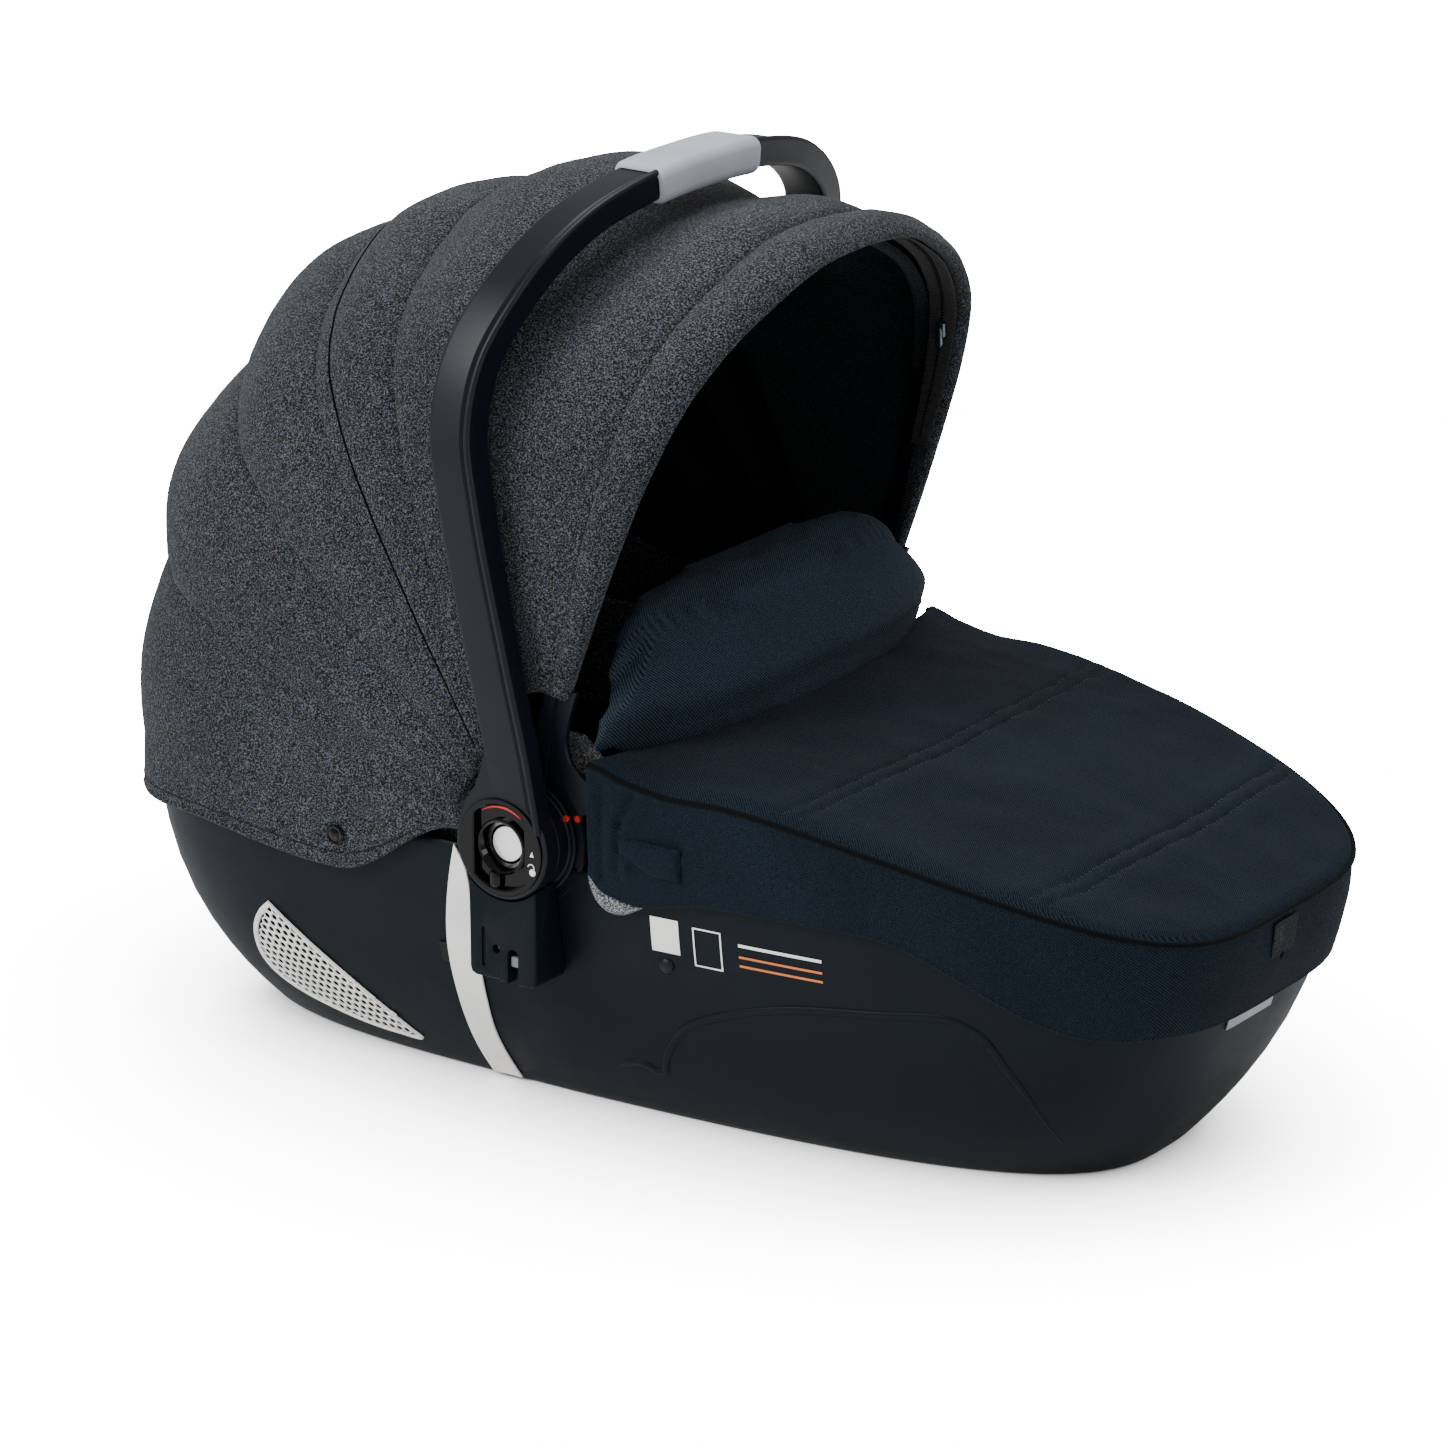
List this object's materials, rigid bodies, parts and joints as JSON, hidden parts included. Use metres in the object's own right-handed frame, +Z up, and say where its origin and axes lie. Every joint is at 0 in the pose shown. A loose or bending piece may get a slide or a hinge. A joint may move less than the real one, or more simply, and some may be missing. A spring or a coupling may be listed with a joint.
{
  "type": "infant car seat",
  "caption": "Lie-flat infant car seat: tub shell, turning carry handle, folding knit hood, padded foot apron with wind guard and a reclining back.",
  "frame": {"origin": "on the floor under the middle of the overall length and width", "axes": "+Z up, +X towards the child's feet, +Y the child's left"},
  "size_m": [0.7832, 0.4332, 0.5881],
  "materials": {
    "shell_plastic": "fine matte texture",
    "foam": "moulded bead foam",
    "grey_lining": "heathered jersey",
    "webbing": "woven webbing",
    "handle_plastic": "satin",
    "steel": "satin",
    "gloss_plastic": "gloss",
    "white_plastic": "satin",
    "red_plastic": "satin",
    "grip_rubber": "soft touch",
    "hood_knit": "salt-and-pepper heather knit",
    "apron_twill": "fine diagonal twill"
  },
  "bodies": {
    "carrier": {"base_shell": "shell_plastic", "foam_liner": "foam", "fabric_lining": "grey_lining", "seat_pad": "grey_lining", "crotch_strap": "webbing", "harness_buckle": "handle_plastic", "recline_rod": "steel", "pivot_pin_right": "steel", "pivot_pin_left": "steel", "hub_bracket_right": "shell_plastic", "hub_bracket_left": "shell_plastic", "adaptor_block_right": "handle_plastic", "adaptor_block_left": "handle_plastic", "trim_band_right": "white_plastic", "trim_band_left": "white_plastic", "vent_grille_right": "white_plastic", "vent_grille_left": "white_plastic", "shell_rivet_right": "shell_plastic", "shell_rivet_left": "shell_plastic", "hood_stud_right": "gloss_plastic", "hood_stud_left": "gloss_plastic", "hood_rear_panel": "hood_knit", "foot_apron_top": "apron_twill", "foot_apron_skirt": "apron_twill", "blank_label_plate": "steel"},
    "handle": {"handle_bow": "handle_plastic", "handle_grip": "grip_rubber", "hub_cap_right": "gloss_plastic", "hub_cap_left": "gloss_plastic", "lock_indicator_right": "red_plastic", "lock_indicator_left": "red_plastic"},
    "button_right": {"release_button_right": "steel"},
    "button_left": {"release_button_left": "steel"},
    "latch_right": {"latch_catch_right": "steel"},
    "latch_left": {"latch_catch_left": "steel"},
    "backrest": {"back_board": "shell_plastic", "back_pad": "grey_lining", "head_pillow": "grey_lining", "shoulder_strap_right": "webbing", "shoulder_strap_left": "webbing"},
    "buckle_press": {"buckle_button": "red_plastic"},
    "guard": {"wind_guard": "apron_twill"},
    "hood_fourth": {"hood_bow_fourth": "handle_plastic", "hood_gore_fourth": "hood_knit"},
    "hood_third": {"hood_bow_third": "handle_plastic", "hood_gore_third": "hood_knit"},
    "hood_second": {"hood_bow_second": "handle_plastic", "hood_gore_second": "hood_knit"},
    "hood_front": {"hood_bow_front": "handle_plastic", "hood_gore_front": "hood_knit", "hood_visor_band": "hood_knit", "hood_zip_tape": "webbing", "hood_zip_slider": "steel"}
  },
  "joints": [
    {"name": "handle_turn", "type": "hinge", "parent": "carrier", "child": "handle", "pos_m": [-0.0414, 0, 0.191], "axis": [0, 1, 0], "range_deg": [0, 80]},
    {"name": "backrest_recline", "type": "hinge", "parent": "carrier", "child": "backrest", "pos_m": [-0.0284, 0, 0.053], "axis": [0, 1, 0], "range_deg": [0, 35]},
    {"name": "wind_guard_fold", "type": "hinge", "parent": "carrier", "child": "guard", "pos_m": [0.0316, 0, 0.255], "axis": [0, 1, 0], "range_deg": [0, 30]},
    {"name": "hood_fold", "type": "hinge", "parent": "carrier", "child": "hood_fourth", "pos_m": [-0.0414, 0, 0.191], "axis": [0, 1, 0], "range_deg": [-15.5, 0], "deforming": ["hood_gore_fourth"]},
    {"name": "hood_fold_third", "type": "hinge", "parent": "hood_fourth", "child": "hood_third", "pos_m": [-0.0414, 0, 0.191], "axis": [0, 1, 0], "range_deg": [-11.5, 0], "deforming": ["hood_gore_third"]},
    {"name": "hood_fold_second", "type": "hinge", "parent": "hood_third", "child": "hood_second", "pos_m": [-0.0414, 0, 0.191], "axis": [0, 1, 0], "range_deg": [-9, 0], "deforming": ["hood_gore_second"]},
    {"name": "hood_fold_front", "type": "hinge", "parent": "hood_second", "child": "hood_front", "pos_m": [-0.0414, 0, 0.191], "axis": [0, 1, 0], "range_deg": [-32.4, 0], "deforming": ["hood_gore_front", "hood_visor_band", "hood_zip_tape"]},
    {"name": "release_press_right", "type": "slide", "parent": "handle", "child": "button_right", "axis": [0, 1, 0], "range_m": [0, 0.0035], "stiffness_N_per_m": 400, "springref_m": -0.002},
    {"name": "latch_lift_right", "type": "slide", "parent": "carrier", "child": "latch_right", "axis": [0, 0, 1], "range_m": [0, 0.0045], "stiffness_N_per_m": 200, "springref_m": -0.001},
    {"name": "release_press_left", "type": "slide", "parent": "handle", "child": "button_left", "axis": [0, -1, 0], "range_m": [0, 0.0035], "stiffness_N_per_m": 400, "springref_m": -0.002},
    {"name": "latch_lift_left", "type": "slide", "parent": "carrier", "child": "latch_left", "axis": [0, 0, 1], "range_m": [0, 0.0045], "stiffness_N_per_m": 200, "springref_m": -0.001},
    {"name": "buckle_release", "type": "slide", "parent": "carrier", "child": "buckle_press", "axis": [0, 0, -1], "range_m": [0, 0.0025], "stiffness_N_per_m": 600, "springref_m": -0.001}
  ],
  "couplings": [
    {"joint": "hood_fold_third", "follows": "hood_fold", "ratio": 0.74},
    {"joint": "hood_fold_second", "follows": "hood_fold", "ratio": 0.58},
    {"joint": "hood_fold_front", "follows": "hood_fold", "ratio": 2.09}
  ]
}
